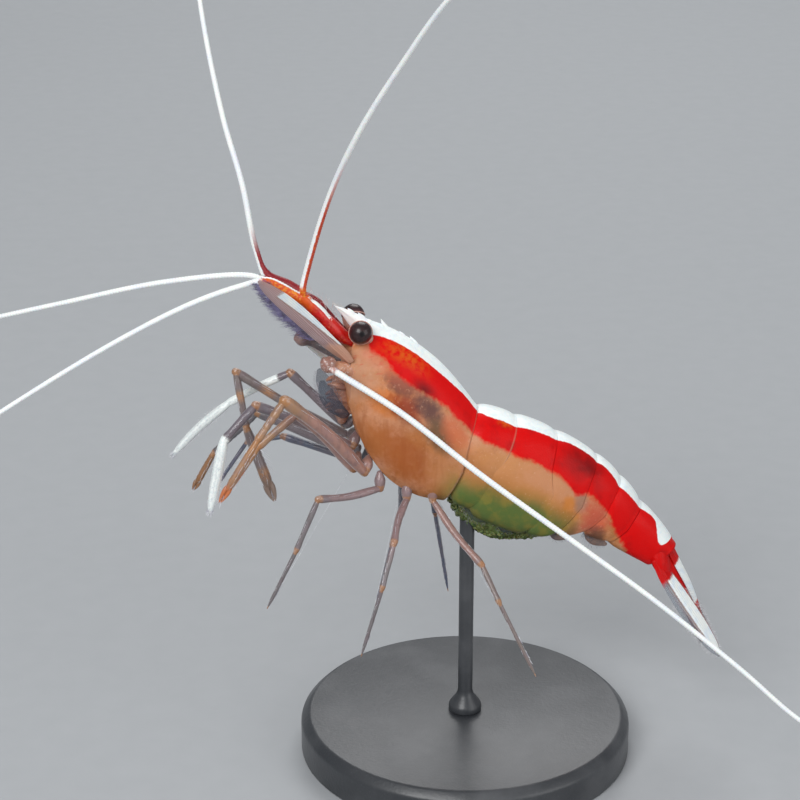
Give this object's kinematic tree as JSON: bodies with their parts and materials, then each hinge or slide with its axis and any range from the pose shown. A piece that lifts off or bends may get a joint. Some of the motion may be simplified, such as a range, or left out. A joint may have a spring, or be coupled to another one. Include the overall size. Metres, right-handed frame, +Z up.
{
  "type": "cleaner shrimp model",
  "caption": "Life-size still model of a cleaner shrimp with long white feelers, held above a plain round display base by a short rod.",
  "frame": {"origin": "centre of the underside of the stand's base, on the surface it stands on", "axes": "+Z up; the shrimp's head points to -X, its tail to +X and its left side to -Y"},
  "size_m": [0.1016, 0.0619, 0.0906],
  "materials": {
    "shell": "satin, translucent orange-tan shell",
    "band": "satin scarlet shell",
    "white": "satin opaque white shell",
    "limb": "satin, translucent brownish shell",
    "glassy": "clear, faintly clouded blades",
    "eye": "glossy, almost black",
    "eggs": "glossy olive-green beads",
    "stand": "matt dark paint"
  },
  "bodies": {
    "root": {"carapace": "shell", "rostrum": "white", "mouthparts": "limb", "abdomen_1": "band", "abdomen_2": "band", "abdomen_3": "band", "abdomen_4": "band", "abdomen_5": "band", "abdomen_6": "band", "egg_mass": "eggs", "eye_left": "eye", "eye_right": "eye", "eyestalk_left": "shell", "eyestalk_right": "shell", "antennule_left": "band", "antennule_right": "band", "antenna_left": "limb", "antenna_right": "limb", "scaphocerite_left": "glassy", "scaphocerite_right": "glassy", "antenna_flagellum_left": "white", "antenna_flagellum_right": "white", "antennule_flagellum_left_inner": "white", "antennule_flagellum_left_outer": "white", "antennule_flagellum_right_inner": "white", "antennule_flagellum_right_outer": "white", "pleopod_1_left": "glassy", "pleopod_2_left": "glassy", "pleopod_3_left": "glassy", "pleopod_4_left": "glassy", "pleopod_5_left": "glassy", "pleopod_1_right": "glassy", "pleopod_2_right": "glassy", "pleopod_3_right": "glassy", "pleopod_4_right": "glassy", "pleopod_5_right": "glassy", "uropod_left_inner": "white", "uropod_left_outer": "white", "uropod_right_inner": "white", "uropod_right_outer": "white", "telson": "band", "maxilliped_left": "limb", "maxilliped_right": "limb", "pereiopod_1_left": "limb", "pereiopod_1_right": "limb", "pereiopod_2_left": "limb", "pereiopod_2_right": "limb", "pereiopod_3_left": "limb", "pereiopod_3_right": "limb", "pereiopod_4_left": "limb", "pereiopod_4_right": "limb", "pereiopod_5_left": "limb", "pereiopod_5_right": "limb", "stand_base": "stand", "stand_rod": "stand"}
  },
  "joints": []
}
